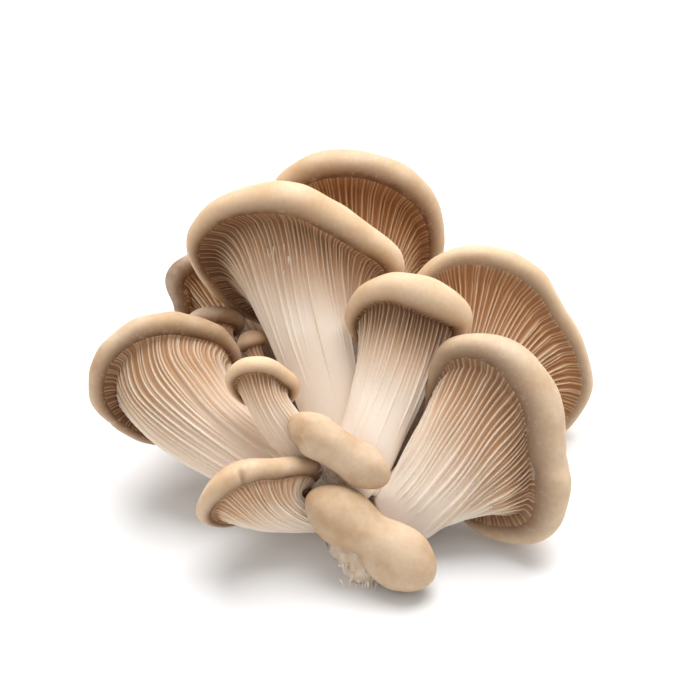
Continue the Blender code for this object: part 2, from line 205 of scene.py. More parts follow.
    def under_gills(self, shares, turns, depth):
        """Rings depth under the bare trumpet, where stem flesh and cap part, and the middle they close on."""
        rings = self.flare(shares[:, None], turns[None, :])
        nearby = self.flare(shares[:, None] - 0.01, turns[None, :])
        out = unit(np.cross(rings - nearby, np.roll(rings, -1, axis=1) - np.roll(rings, 1, axis=1)))
        rings = rings - depth * out
        return rings, rings[-1].mean(axis=0) + (depth - FLESH_LEFT) * self.top


def faces_out(grid):
    """The way each point of a grid faces, with rows along the piece and columns once round it."""
    along = np.gradient(grid, axis=0)
    about = np.roll(grid, -1, axis=1) - np.roll(grid, 1, axis=1)
    return unit(np.cross(along, about))


def closed_skin(name, grid, ends, finish, marks):
    """A closed mesh from a grid of millimetre points, columns once round, and the two points that its ends
    close on, or from many such grids of one size. marks are numbers or vectors kept at each grid point, which
    the finish reads by name."""
    rows, columns = grid.shape[-3:-1]
    count = grid.size // (rows * columns * 3)
    points = np.concatenate([grid.reshape(-1, 3), np.reshape(ends, (-1, 3))]) * MM
    points[:, 2] = np.maximum(points[:, 2], 0)
    index = np.arange(count * rows * columns).reshape(count, rows, columns)
    foot_end = count * rows * columns + 2 * np.arange(count)[:, None] + np.zeros((1, columns), int)
    after = np.roll(index, -1, axis=2)
    quads = np.stack([index[:, :-1], index[:, 1:], after[:, 1:], after[:, :-1]], axis=-1).reshape(-1, 4)
    foot = np.stack([foot_end, index[:, 0], after[:, 0]], axis=-1)
    head = np.stack([index[:, -1], foot_end + 1, after[:, -1]], axis=-1)
    corners = np.concatenate([quads.ravel(), foot.ravel(), head.ravel()])
    sizes = np.concatenate([np.full(len(quads), 4), np.full(2 * columns * count, 3)])
    mesh = bpy.data.meshes.new(name)
    mesh.vertices.add(len(points))
    mesh.vertices.foreach_set("co", points.astype(np.float32).ravel())
    mesh.loops.add(len(corners))
    mesh.loops.foreach_set("vertex_index", corners.astype(np.int32))
    mesh.polygons.add(len(sizes))
    mesh.polygons.foreach_set("loop_start", (np.cumsum(sizes) - sizes).astype(np.int32))
    mesh.polygons.foreach_set("loop_total", sizes.astype(np.int32))
    mesh.update(calc_edges=True)
    mesh.shade_smooth()
    for mark, values in marks.items():
        values = np.asarray(values, np.float32).reshape(count, rows * columns, -1)
        at_ends = values[:, [0, -1]].reshape(2 * count, -1)
        values = np.concatenate([values.reshape(count * rows * columns, -1), at_ends])
        kind, field = ("FLOAT", "value") if values.shape[1] == 1 else ("FLOAT_VECTOR", "vector")
        mesh.attributes.new(mark, kind, "POINT").data.foreach_set(field, values.ravel())
    mesh.materials.append(finish)
    piece = bpy.data.objects.new(name, mesh)
    bpy.context.scene.collection.objects.link(piece)
    return piece


def colour(code):
    """An sRGB hex code as linear red, green, blue and alpha."""
    parts = [int(code[k:k + 2], 16) / 255 for k in (1, 3, 5)]
    return [c / 12.92 if c <= 0.04045 else ((c + 0.055) / 1.055) ** 2.4 for c in parts] + [1.0]


def add(tree, kind, feeds, **settings):
    """Adds a node, sets its own settings, and feeds its sockets with values or with other nodes' outputs. A
    colour mix takes its share as socket 0 and its colours as 6 and 7, and gives its colour as output 2. A map
    range takes the range it reads as 1 and 2, and the range it gives as 3 and 4."""
    node = tree.nodes.new(kind)
    for setting, value in settings.items():
        setattr(node, setting, value)
    for socket, value in feeds.items():
        if isinstance(value, bpy.types.NodeSocket):
            tree.links.new(value, node.inputs[socket])
        else:
            node.inputs[socket].default_value = value
    return node


FLESH_BLOTCHES = 90.0  # to the metre, so one is about 11 mm across
SKIN_BLOTCHES = 80.0  # to the metre, so one is about 12 mm across
SKIN_FLECKS = 600.0  # to the metre, so one is under 2 mm across


def mushroom_flesh():
    """Oyster mushroom flesh and gills, as grown: white flesh under a cream surface, matt and a little
    see-through. The gills' crests are pale and pinkish; the clefts between them are painted orange brown, as
    painted shade and light bounced between the gills."""
    made = bpy.data.materials.new("grown_mushroom_flesh")
    made.use_nodes = True
    tree = made.node_tree
    shader = tree.nodes["Principled BSDF"]
    cleft = add(tree, "ShaderNodeAttribute", {}, attribute_name="cleft").outputs["Fac"]
    warmth = add(tree, "ShaderNodeAttribute", {}, attribute_name="warmth").outputs["Fac"]
    brown_and_painted_shade = add(tree, "ShaderNodeAttribute", {}, attribute_name="brown_and_painted_shade").outputs["Fac"]
    grain = add(tree, "ShaderNodeAttribute", {}, attribute_name="grain").outputs["Vector"]
    where = add(tree, "ShaderNodeTexCoord", {}).outputs["Object"]
    blotch = add(tree, "ShaderNodeTexNoise", {"Vector": where, "Scale": FLESH_BLOTCHES, "Detail": 3.0})
    fibre = add(tree, "ShaderNodeTexNoise", {"Vector": grain, "Scale": 1.0, "Detail": 4.0, "Roughness": 0.6})
    pale = add(tree, "ShaderNodeMix", {0: blotch.outputs["Fac"], 6: colour("#F5ECE2"), 7: colour("#F0E0CE")},
               data_type="RGBA")
    blush = add(tree, "ShaderNodeMix", {0: warmth, 6: pale.outputs[2], 7: colour("#E0BE98")},
                data_type="RGBA")
    deep = add(tree, "ShaderNodeMix", {0: warmth, 6: colour("#BA8C54"), 7: colour("#A8682A")},
               data_type="RGBA")
    # Painted shade: the clefts between gills go towards orange brown as cleft grows, standing in for shade
    # and light bounced between the gills.
    sink = add(tree, "ShaderNodeMapRange", {"Value": cleft, 1: 0.2, 2: 1.0, 3: 0.0, 4: 0.85})
    shade = add(tree, "ShaderNodeMix", {0: sink.outputs[0], 6: blush.outputs[2], 7: deep.outputs[2]},
                data_type="RGBA")
    # Painted shade under the rolls and in the hollows, and the brown deep in the clump, both darken towards
    # one dark brown.
    brown_and_shade_mix = add(tree, "ShaderNodeMix", {0: brown_and_painted_shade, 6: shade.outputs[2], 7: colour("#5E370F")},
               data_type="RGBA")
    tree.links.new(brown_and_shade_mix.outputs[2], shader.inputs["Base Color"])
    bump = add(tree, "ShaderNodeBump",
               {"Height": fibre.outputs["Fac"], "Strength": 0.35, "Distance": 0.4 * MM})
    tree.links.new(bump.outputs["Normal"], shader.inputs["Normal"])
    shader.inputs["Roughness"].default_value = 0.62
    shader.inputs["Subsurface Weight"].default_value = 0.35
    shader.inputs["Subsurface Radius"].default_value = (1.0, 0.7, 0.45)
    shader.inputs["Subsurface Scale"].default_value = 2 * MM
    return made


def mushroom_skin():
    """Oyster mushroom cap skin, as grown: thin, smooth and dry, tan to grey, with painted shade that makes it
    darker and ragged where it tucks under, with a pale bloom there, and with faint fibres running in from the
    edge."""
    made = bpy.data.materials.new("grown_cap_skin")
    made.use_nodes = True
    tree = made.node_tree
    shader = tree.nodes["Principled BSDF"]
    tuck = add(tree, "ShaderNodeAttribute", {}, attribute_name="tuck").outputs["Fac"]
    grey = add(tree, "ShaderNodeAttribute", {}, attribute_name="grey").outputs["Fac"]
    age = add(tree, "ShaderNodeAttribute", {}, attribute_name="age").outputs["Fac"]
    grain = add(tree, "ShaderNodeAttribute", {}, attribute_name="grain").outputs["Vector"]
    where = add(tree, "ShaderNodeTexCoord", {}).outputs["Object"]
    blotch = add(tree, "ShaderNodeTexNoise",
                 {"Vector": where, "Scale": SKIN_BLOTCHES, "Detail": 5.0, "Roughness": 0.6})
    fleck = add(tree, "ShaderNodeTexNoise",
                {"Vector": where, "Scale": SKIN_FLECKS, "Detail": 3.0, "Roughness": 0.6})
    fibre = add(tree, "ShaderNodeTexNoise", {"Vector": grain, "Scale": 1.0, "Detail": 4.0, "Roughness": 0.6})
    young = add(tree, "ShaderNodeMix", {0: grey, 6: colour("#DCB589"), 7: colour("#D0B594")},
                data_type="RGBA")
    tan = add(tree, "ShaderNodeMix", {0: age, 6: young.outputs[2], 7: colour("#6C4C30")}, data_type="RGBA")
    spread = add(tree, "ShaderNodeMapRange",
                 {"Value": blotch.outputs["Fac"], 1: 0.35, 2: 0.65, 3: 0.0, 4: 0.5})
    clouded = add(tree, "ShaderNodeMix", {0: spread.outputs[0], 6: tan.outputs[2], 7: colour("#E2CDB4")},
                  data_type="RGBA")
    speckle = add(tree, "ShaderNodeMapRange",
                  {"Value": fleck.outputs["Fac"], 1: 0.35, 2: 0.65, 3: 0.13, 4: 0.0})
    mottled = add(tree, "ShaderNodeMix",
                  {0: speckle.outputs[0], 6: clouded.outputs[2], 7: colour("#A8835C")}, data_type="RGBA")
    # Painted shade where the skin tucks under the roll: a dark brown laid on in ragged patches by the tuck
    # mark.
    patchy = add(tree, "ShaderNodeMath", {0: blotch.outputs["Fac"], 1: 0.4}, operation="SUBTRACT")
    ragged = add(tree, "ShaderNodeMath", {0: patchy.outputs[0], 1: tuck, 2: tuck}, operation="MULTIPLY_ADD",
                 use_clamp=True)
    tucked = add(tree, "ShaderNodeMix", {0: ragged.outputs[0], 6: mottled.outputs[2], 7: colour("#684220")},
                 data_type="RGBA")
    powder = add(tree, "ShaderNodeMapRange",
                 {"Value": fleck.outputs["Fac"], 1: 0.55, 2: 0.72, 3: 0.0, 4: 0.25})
    dusting = add(tree, "ShaderNodeMath", {0: powder.outputs[0], 1: tuck}, operation="MULTIPLY")
    bloom = add(tree, "ShaderNodeMix", {0: dusting.outputs[0], 6: tucked.outputs[2], 7: colour("#D9CCBC")},
                data_type="RGBA")
    tree.links.new(bloom.outputs[2], shader.inputs["Base Color"])
    bump = add(tree, "ShaderNodeBump",
               {"Height": fibre.outputs["Fac"], "Strength": 0.12, "Distance": 0.3 * MM})
    tree.links.new(bump.outputs["Normal"], shader.inputs["Normal"])
    shader.inputs["Roughness"].default_value = 0.6
    shader.inputs["Subsurface Weight"].default_value = 0.2
    shader.inputs["Subsurface Radius"].default_value = (1.0, 0.5, 0.3)
    shader.inputs["Subsurface Scale"].default_value = 2 * MM
    return made


flesh = mushroom_flesh()
skin = mushroom_skin()

INSIDE_RINGS = np.array([0.94, 0.85, 0.75, 0.65])  # shares of the trumpet where the hidden joint has rings
GILL_COLUMNS = 6  # columns of points for each gill at the rim
GILL_TIERS = 8  # at the throat only one gill in eight is left; the others start further out
GILL_HALF_WIDTH = 0.21  # as a share of the room between gills at the rim
GILL_SHARPNESS = 1.5  # the power that shapes a gill across: 2 would be a bell, 1 a spike
GILL_ROOM = 14  # from stem to roll, in millimetres, under which the gills are lower
SHORT_GILLS_LATE = 0.45  # how much later the shortest begin, where 1 is from the throat to the roll
SWAY_LENGTH = 45.0  # of the waves in which gills sway to the side
SWAY_RUN = 60  # millimetres that the stem, and then the gills, count for in those waves
STEM_LUMPS = 22.0, 0.35  # length and height of the stem's uneven ground
FIBRES_ROUND, FIBRES_ALONG = 26, 0.12  # radius of the fibres' pattern, and its length for each millimetre


def stem_and_gills(name, shape, apart, tall, rise, wave, warmth, shade=(0.7, [0.7]), brown=(0.0, 0.0),
                   rows=74):
    """Stem and gills as one skin. A gill is a thin ridge along the piece, and it begins where its neighbours
    have drawn far enough apart to leave it room.

    apart: the room between gills at the rim, in millimetres. tall: their height. rise: where they begin and
    where they are full, give or take a little for each, the short ones last. wave: how far they sway to the
    side. warmth: how orange the flesh is at the throat and at the roll. shade: where painted shade begins to
    darken the gills towards the roll, under its overhang, and by how much, from the right anticlockwise.
    brown:
    how much darker brown the stem and the gills are made, deep in the clump. Places run from -1 at the foot
    to
    1 at the roll, as in bare.
    """
    draw = np.random.default_rng(shape.seed)
    gills = max(GILL_TIERS, int(round(shape.girth / apart / GILL_TIERS)) * GILL_TIERS)
    columns = gills * GILL_COLUMNS
    turns = shape.even_turns(columns)[None, :]
    stem_rows, gill_rows = rows // 5, rows - rows // 5
    along = np.concatenate([np.linspace(-1, -0.3, stem_rows)[:-1], np.linspace(-0.3, 1, gill_rows)])
    along = along[:, None]
    grid = shape.bare(along, turns)
    out = faces_out(grid)
    room = np.linalg.norm(np.roll(grid, -1, axis=1) - grid, axis=-1) * GILL_COLUMNS
    count = np.arange(columns)[None, :] / GILL_COLUMNS

    ground = np.stack([along * SWAY_RUN + 0 * count, shape.girth * count / gills + 0 * along], axis=-1)
    sway = wave * drift(ground, SWAY_LENGTH, shape.seed + 1, waves=6) / np.maximum(room, 0.2)
    jitter = draw.uniform(-0.2, 0.2, gills)
    keen = draw.uniform(0.8, 1.4, gills)
    depth = draw.uniform(0.6, 1.0, gills)
    tier = np.full(gills, 1.0)
    for step in (2, 4, GILL_TIERS):
        tier[::step] = step
    late = draw.uniform(-0.2, 0.3, gills) + SHORT_GILLS_LATE * (1 - np.log2(tier) / np.log2(GILL_TIERS))
    crest = np.zeros_like(room)
    for beside in range(-5, 6):
        gill = np.round(count - sway).astype(int) + beside
        own = gill % gills
        start = ease(0.55, 1.0, room * tier[own] * keen[own] / apart)
        start = start * ease(rise[0], rise[1], along - late[own])
        away = (count - sway - gill - jitter[own] * tier[own] ** 0.5) * room
        ridge = np.exp(-np.abs(away / (GILL_HALF_WIDTH * apart)) ** GILL_SHARPNESS)
        crest = np.maximum(crest, start * depth[own] * ridge)
    span = np.linalg.norm(grid[-1] - grid[len(along) // 3], axis=-1)[None, :]
    height = tall * np.minimum(1, span / GILL_ROOM) * (1 - 0.8 * ease(0.8, 1.0, along))
    lumps = drift(grid, STEM_LUMPS[0], shape.seed + 2) * STEM_LUMPS[1] * (1 - ease(-0.2, 0.6, along))
    relief = grid + (crest * height + lumps)[..., None] * out

    # Past the roll's end the flesh slips in under its skin: by these degrees, and by so many millimetres.
    slips = [shape.rolled(turns[0], np.full(columns, beyond - shape.curl), under)[0]
             for beyond, under in ((7.0, 0.2), (16.0, 0.5))]
    inner, middle = shape.under_gills(INSIDE_RINGS, turns[0], FLESH_LEFT)
    whole = np.concatenate([relief, slips, inner])

    # Painted shade in the clefts between gills, growing towards the roll, where the crests are darkened too
    # under its overhang.
    cleft = (1 - crest * (1 - 0.5 * ease(0.75, 1.0, along))) * ease(rise[0], 0.8, along)
    cleft = cleft * np.minimum(1, room * 2 / apart)
    # The brown deep in the clump, with painted shade under the roll and in the hollows beside the stem laid
    # over it.
    brown_and_painted_shade = brown[0] + (brown[1] - brown[0]) * ease(-0.2, 0.5, along)
    painted_shade_amount = np.clip(closed_curve(shade[1], turns), 0, 1)
    brown_and_painted_shade = np.maximum(brown_and_painted_shade, painted_shade_amount * ease(shade[0], 1.0, along) * (1 - 0.4 * crest))
    hue = warmth[0] + (warmth[1] - warmth[0]) * ease(-0.1, 0.9, along)
    angle = 2 * np.pi * turns
    length = along * np.linalg.norm(shape.throat - shape.foot)
    grain = np.stack([np.cos(angle) * FIBRES_ROUND + 0 * along, np.sin(angle) * FIBRES_ROUND + 0 * along,
                      length * FIBRES_ALONG + 0 * angle], axis=-1)
    extra = len(slips) + len(INSIDE_RINGS)
    hidden = np.zeros((extra, columns))
    piece = closed_skin(name, whole, [shape.foot, middle], flesh, {
        "cleft": np.concatenate([cleft, hidden]),
        "brown_and_painted_shade": np.concatenate([brown_and_painted_shade, hidden + 0.8]),
        "warmth": np.concatenate([hue + 0 * cleft, hidden]),
        "grain": np.concatenate([grain, np.repeat(grain[-1:], extra, axis=0)]),
    })
    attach(piece, "root")
    return piece


ROLL_LEAVES = 40.0  # degrees over the edge, where the roll passes into the top
ROLL_ROWS, TOP_ROWS = 30, 26
CREST_SHARE = 0.9  # of what a cap is longer than it is wide, which its crown is drawn out by
CAP_SWELLS = 30.0, 0.4  # length and height of the cap's slow uneven ground
CAP_BUMPS = 11.0, 0.15  # and of the finer one on it
SKIN_FIBRES_ROUND, SKIN_FIBRES_IN = 30, 7  # radius of the fibres' pattern, and its length from edge to crown


def cap(name, shape, grey, age, margin=1.0, uneven=1.0, columns=300, dents=()):
    """Cap as one skin: a hidden flat inside, round the rolled edge as part of a circle, then a cubic curve
    over the top to the crown, which is a line on a long cap. Uneven ground keeps it from looking turned.

    grey, age: how grey and how brown the skin is. margin: how dark the painted shade goes where the skin
    tucks
    under. uneven: how strong its uneven ground is. dents: for each its share of a turn, its degrees round the
    roll, and its depth, width and height in millimetres.
    """
    turns = shape.even_turns(columns)
    lifts = np.linspace(-shape.curl, ROLL_LEAVES, ROLL_ROWS)
    roll = shape.rolled(turns[None, :] + 0 * lifts[:, None], lifts[:, None] + 0 * turns[None, :])[0]
    start, onward = roll[-1], shape.rolled(turns, np.full_like(turns, ROLL_LEAVES))[1]
    crown = shape.middle + (np.mean(shape.roll) + shape.dome) * shape.top
    brim = shape.edge(turns) - shape.middle
    wide, high = brim @ shape.right, brim @ shape.over
    ridge = max(0.0, CREST_SHARE * (np.abs(wide).max() - np.abs(high).max()))
    crest = crown + np.clip(wide, -ridge, ridge)[:, None] * shape.right + 0.01 * brim
    span = np.linalg.norm(crest - start, axis=-1, keepdims=True)
    inward = unit((crest - start) - ((crest - start) @ shape.top)[:, None] * shape.top)
    near, far = start - 0.36 * span * onward, crest - 0.4 * span * inward
    t = np.linspace(0, 1, TOP_ROWS)[1:, None, None]
    over = (1 - t) ** 3 * start + 3 * t * (1 - t) ** 2 * near + 3 * t**2 * (1 - t) * far + t**3 * crest
    outer = np.concatenate([roll, over])

    swell = (drift(outer, CAP_SWELLS[0], shape.seed + 5) * CAP_SWELLS[1]
             + drift(outer, CAP_BUMPS[0], shape.seed + 6) * CAP_BUMPS[1])
    swell = uneven * swell * np.concatenate([ease(-shape.curl, -60, lifts), 1 - t[:, 0, 0] ** 4])[:, None]
    for turn, degrees, depth, width, height in dents:
        beside = (turns - turn + 0.5) % 1 - 0.5
        centre = shape.rolled(np.array([turn]), np.array([degrees]))[0]
        aside = np.linalg.norm(roll - centre, axis=-1)
        along_edge = beside[None, :] * shape.girth
        round_roll = np.sqrt(np.maximum(aside**2 - along_edge**2, 0))
        swell[:len(roll)] -= depth * np.exp(-(along_edge / width) ** 2 - (round_roll / height) ** 2)
    outer = outer + swell[..., None] * faces_out(outer)
    inner, middle = shape.under_gills(INSIDE_RINGS, turns, FLESH_LEFT + SKIN_GAP)
    whole = np.concatenate([inner[::-1], outer])

    # Painted shade on the roll's underside, where it turns in towards the gills, at full on the hidden
    # inside; the pale bloom lies there too.
    tuck = np.concatenate([np.ones(len(inner)), 1 - ease(-shape.curl - 10, -shape.curl + 95, lifts),
                           np.zeros(len(over))])
    inwards = np.concatenate([np.zeros(len(inner)), np.linspace(0, 1, len(outer))])[:, None]
    angle = 2 * np.pi * turns[None, :]
    grain = np.stack([np.cos(angle) * SKIN_FIBRES_ROUND + 0 * inwards,
                      np.sin(angle) * SKIN_FIBRES_ROUND + 0 * inwards,
                      inwards * SKIN_FIBRES_IN + 0 * angle], axis=-1)
    piece = closed_skin(name, whole, [middle, crown], skin, {
        "tuck": margin * tuck[:, None] + 0 * turns[None, :],
        "grey": np.full(whole.shape[:2], grey),
        "age": np.full(whole.shape[:2], age),
        "grain": grain,
    })
    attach(piece, "root")
    return piece


tall_centre = Mushroom(
    middle=(-15, 117, 36), faces=(0.12, 0.66, 0.74),
    reach=(36, 27.5, 26, 29.5, 32.5, 37, 41, 38.5, 37.5, 38, 37, 35.5),
    roll=(4.5, 6.0, 3.3, 3.0), curl=125, dome=9, foot=(4, 40, 36), bend=(-8, 66, 38), throat=(-13, 95, 41),
    thick=(10, 17), deep=0.7, hug=(0.4, 0.5, 0.85, 0.6), bowl=(0.35, 0.55, 0.6, 0.5), drawn=600, seed=11)
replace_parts(stem_and_gills("tall_centre_stem", tall_centre, apart=1.4, tall=1.9, rise=(-0.3, 0.4), wave=0.3,
                           warmth=(0.1, 0.7), shade=(0.45, (0.5, 0.75, 1.0, 1.0))), "stem_tall_centre")
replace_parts(cap("tall_centre_cap", tall_centre, grey=0.2, age=0.1), "cap_tall_centre")


# The mushroom behind it
# The highest cap of the clump, seen over the tall one's shoulder: the same flesh, grown from the back of the
# butt. Its gills fan out, with deep orange painted shade in the clefts.

back_top = Mushroom(
    middle=(3, 123, 76), faces=(-0.05, 0.57, 0.82),
    reach=(33.5, 34.5, 35.5, 37.5, 39, 37.5, 35.5, 37, 43.5, 49.5, 44.5, 36),
    roll=(4.5, 5.5, 4.0, 4.0), curl=118, dome=10, foot=(8, 42, 50), bend=(4, 76, 66), throat=(3, 104, 77),
    thick=(8, 12), deep=0.8, bowl=(0.4, 0.6, 0.4, 0.4), drawn=800, seed=12)
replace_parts(stem_and_gills("back_top_stem", back_top, apart=1.6, tall=2.2, rise=(-0.5, 0.2), wave=0.3,
                           warmth=(0.2, 1.0), shade=(0.6, [0.65])), "stem_back_top")
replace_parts(cap("back_top_cap", back_top, grey=0.3, age=0.25), "cap_back_top")


# The wide mushroom behind on the right
# Grown from the back of the butt too. Its cap stands nearly upright, so the whole fan of gills shows, with
# bright orange painted shade between the crests, and its stem is brown deep in the clump.

back_right = Mushroom(
    middle=(56, 85, 54), faces=(-0.05, 0.38, 0.92),
    reach=(29.5, 26, 30, 36, 42, 40, 33, 31, 32, 37, 41.5, 37.5),
    roll=(3.5, 4.5, 3.0, 3.5), curl=112, dome=10, foot=(14, 32, 42), bend=(27, 57, 44), throat=(43, 73, 48),
    thick=(9, 12), deep=0.8, bowl=(0.4, 0.6, 0.5, 0.4), drawn=800, seed=13)
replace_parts(stem_and_gills("back_right_stem", back_right, apart=1.6, tall=2.4, rise=(-0.5, 0.1), wave=0.7,
                           warmth=(0.2, 0.9), brown=(0.6, 0.0), shade=(0.85, [0.4])), "stem_back_right")
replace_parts(cap("back_right_cap", back_right, grey=0.6, age=0.1, margin=0.6), "cap_back_right")


# The upright mushroom right of the middle
# A cylinder of pale flesh for a stem, grown from the butt's front, whose gills run half way down it, under a
# small oval cap.

mid_right = Mushroom(
    middle=(25, 95, 25), faces=(0.05, 0.72, 0.69),
    reach=(19, 17, 16.5, 18, 21.5, 24, 25, 25, 24, 22, 18.5, 18),
    roll=(4.4, 6.0, 6.0, 4.5, 2.6, 1.4, 1.4, 2.0), curl=130, dome=5, foot=(2, 36, 23), bend=(11, 56, 26),
    throat=(21, 80, 26), thick=(10.5, 11.5), deep=0.75, bowl=(0.4, 0.75, 0.5, 0.4), drawn=1500, seed=14)
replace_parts(stem_and_gills("mid_right_stem", mid_right, apart=1.4, tall=1.7, rise=(-0.5, 0.3), wave=0.2,
                           warmth=(0.1, 0.7), shade=(0.2, [0.8])), "stem_mid_right")
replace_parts(cap("mid_right_cap", mid_right, grey=0.5, age=0.05, margin=0.8), "cap_mid_right")


# The large mushroom low on the right
# Its cap stands on edge, so its rolled rim makes a broad arch, with a dent outside. Thick wavy gills run
# nearly down to the butt that it grows from.

big_right = Mushroom(
    middle=(54, 52, 17), faces=(0.42, 0.2, 0.88),
    reach=(23.5, 25.5, 30.5, 37, 39, 33, 29.5, 31, 33, 35.5, 36.5, 29),
    roll=(7.8, 7.8, 6.8, 4.0, 1.3, 0.9, 4.5, 6.8), curl=116, dome=10, foot=(17, 24.5, 23),
    bend=(29, 33, 15), throat=(40, 42, 12.6), thick=(12, 15.5), deep=0.6,
    bowl=(0.1, 0.2, 0.35, 0.3, 0.3, 0.5, 0.9, 0.6), drawn=3000, seed=15)
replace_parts(stem_and_gills("big_right_stem", big_right, apart=1.9, tall=2.3, rise=(-0.7, 0.1), wave=0.5,
                           warmth=(0.1, 0.6), shade=(0.5, [0.65])), "stem_big_right")
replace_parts(cap("big_right_cap", big_right, grey=0.8, age=0.3, margin=0.8,
                dents=((0.965, -20, 1.4, 4.5, 9),)), "cap_big_right")


# The large mushroom low on the left
# It leans out over the table on a long curved stem of pale flesh, with gills all along it down to the butt.

big_left = Mushroom(
    middle=(-62, 74, 32), faces=(-0.42, 0.5, 0.76),
    reach=(28, 26, 24, 26, 29, 30.5, 29, 26.5, 26.5, 29, 31, 29),
    roll=(3.3, 4.3, 3.2, 3.0), curl=118, dome=7, foot=(-5, 31, 36), bend=(-27, 37, 32),
    throat=(-55, 60, 27), thick=(11, 17), deep=0.7, hug=(0.4, 0.4, 0.8, 0.6), bowl=(0.2, 0.2, 0.8, 0.8),
    drawn=500, seed=16)
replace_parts(stem_and_gills("big_left_stem", big_left, apart=1.7, tall=2.1, rise=(-0.8, 0.2), wave=0.6,
                           warmth=(0.1, 0.6), shade=(0.75, (0.5, 0.5, 0.9, 0.9))), "stem_big_left")
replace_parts(cap("big_left_cap", big_left, grey=0.3, age=0.38, dents=((0.585, -40, 0.7, 0.6, 5),)),
            "cap_big_left")


# The small slim mushroom left of the middle
# A thin stem with fine ribs, grown from the butt between its larger neighbours, and a cap like a button that
# hooks over at its left end.

small_left = Mushroom(
    middle=(-29, 71, 12), faces=(-0.1, 0.76, 0.64),
    reach=(13, 11.5, 12.5, 14, 15, 14, 11.5, 10.5, 11, 12.5, 13, 13.5),
    roll=(2.4, 2.8, 2.1, 2.0), curl=125, dome=3, foot=(-3, 36, 25), bend=(-14, 45, 21),
    throat=(-26, 62.5, 9.5), thick=(8.5, 6.5), deep=0.8, seed=17)
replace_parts(stem_and_gills("small_left_stem", small_left, apart=1.3, tall=1.0, rise=(-0.6, 0.3), wave=0.2,
                           warmth=(0.15, 0.7), rows=54, shade=(0.5, [0.6])), "stem_small_left")
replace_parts(cap("small_left_cap", small_left, grey=0.3, age=0.0, columns=180), "cap_small_left")


# The low mushroom in front on the left
# Grown from the butt's left side, half of it hidden behind the large bolster. Its belly hangs just over the
# table, and its rim has a nick.

front_left = Mushroom(
    middle=(-30, 33, 12), faces=(-0.45, 0.78, 0.44),
    reach=(25, 21.5, 19, 23, 26, 25, 21, 17, 14.5, 13.5, 17, 23),
    roll=(3.2, 3.5, 2.7, 2.8), curl=118, dome=4, foot=(-5, 25, 28), bend=(-14, 20, 21),
    throat=(-24.5, 26.5, 12.5), thick=(7, 8.5), deep=0.8, hug=(0.2, 0.4, 0.4, 0.4),
    bowl=(0.05, 0.4, 0.4, 0.4), seed=18)
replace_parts(stem_and_gills("front_left_stem", front_left, apart=1.4, tall=1.3, rise=(-0.8, 0.2), wave=0.3,
                           warmth=(0.15, 0.6), rows=54, shade=(0.7, (0.1, 0.6, 0.7, 0.6))),
            "stem_front_left")
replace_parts(cap("front_left_cap", front_left, grey=0.3, age=0.3, columns=220,
                dents=((0.29, -40, 1.8, 0.9, 2.5),)), "cap_front_left")


# The small bolster in the middle
# A narrow cap of the same flesh on a stem hidden behind it, seen from above, so only its smooth skin shows,
# with a pinch near its left end.

front_small = Mushroom(
    middle=(-2, 49, 6), faces=(0.3, 0.45, -0.8), reach=(20, 15, 9, 7.5, 9, 15, 20, 15, 9, 7.5, 9, 15),
    roll=(4.5, 3.5, 4.5, 3.5), curl=95, dome=3, foot=(5, 29, 20), bend=(-6, 39.5, 20),
    throat=(-4.7, 44.5, 13), thick=(9, 3), deep=0.7, seed=19, across=(0.85, -0.53, 0))
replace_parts(stem_and_gills("front_small_stem", front_small, apart=1.3, tall=0.9, rise=(-0.6, 0.3), wave=0.3,
                           warmth=(0.4, 0.7), rows=44), "stem_front_small")
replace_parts(cap("front_small_cap", front_small, grey=0.35, age=0.42, uneven=0.1, columns=220,
                dents=((0.42, 0, 1.3, 1.3, 3),)), "cap_front_small")


# The large bolster in front of the butt
# The nearest cap, on a short stem hidden behind it. Its top faces the viewer, and its lower end rests almost
# on the table.

front_foot = Mushroom(
    middle=(8.5, 19, 7), faces=(-0.1, -0.15, -0.95),
    reach=(26, 20, 11.5, 7.5, 9.5, 18, 26, 20, 12, 9.3, 12.5, 20.5),
    roll=(6.0, 5.0, 6.0, 5.0), curl=75, dome=3, foot=(9.6, 20.7, 18.2), bend=(9.4, 20.4, 16.4),
    throat=(9.3, 20.2, 14.4), thick=(4, 4), deep=0.8, seed=20, across=(0.85, -0.53, 0.24))
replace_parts(stem_and_gills("front_foot_stem", front_foot, apart=1.4, tall=0.9, rise=(-0.6, 0.3), wave=0.3,
                           warmth=(0.4, 0.7), rows=44), "stem_front_foot")
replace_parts(cap("front_foot_cap", front_foot, grey=0.35, age=0.38, uneven=0.15, columns=240),
            "cap_front_foot")


# The grey-brown mushroom behind on the left
# The oldest and darkest cap, with a whitish bloom along its rolled edge, on a stem from the back of the butt.
# Its gills are brown in the shade of the tall one.

back_left = Mushroom(
    middle=(-43, 100, 74), faces=(-0.3, 0.25, 0.92), reach=(15, 17, 20, 22, 23.5, 25, 20, 22, 29, 34, 28, 19),
    roll=(3.0, 4.0, 3.5, 3.0), curl=130, dome=7, foot=(-4, 42, 52), bend=(-14, 62, 62),
    throat=(-36, 88, 66), thick=(6, 6.5), deep=0.8, seed=21)
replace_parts(stem_and_gills("back_left_stem", back_left, apart=1.5, tall=1.5, rise=(-0.5, 0.3), wave=0.4,
                           warmth=(0.6, 1.0), brown=(0.6, 0.45), rows=54), "stem_back_left")
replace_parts(cap("back_left_cap", back_left, grey=0.3, age=1.0, columns=220), "cap_back_left")


# The small cap behind the left one
# A tan sliver of a cap on a thin stem from the back of the butt, between the grey-brown cap and the large
# left one.

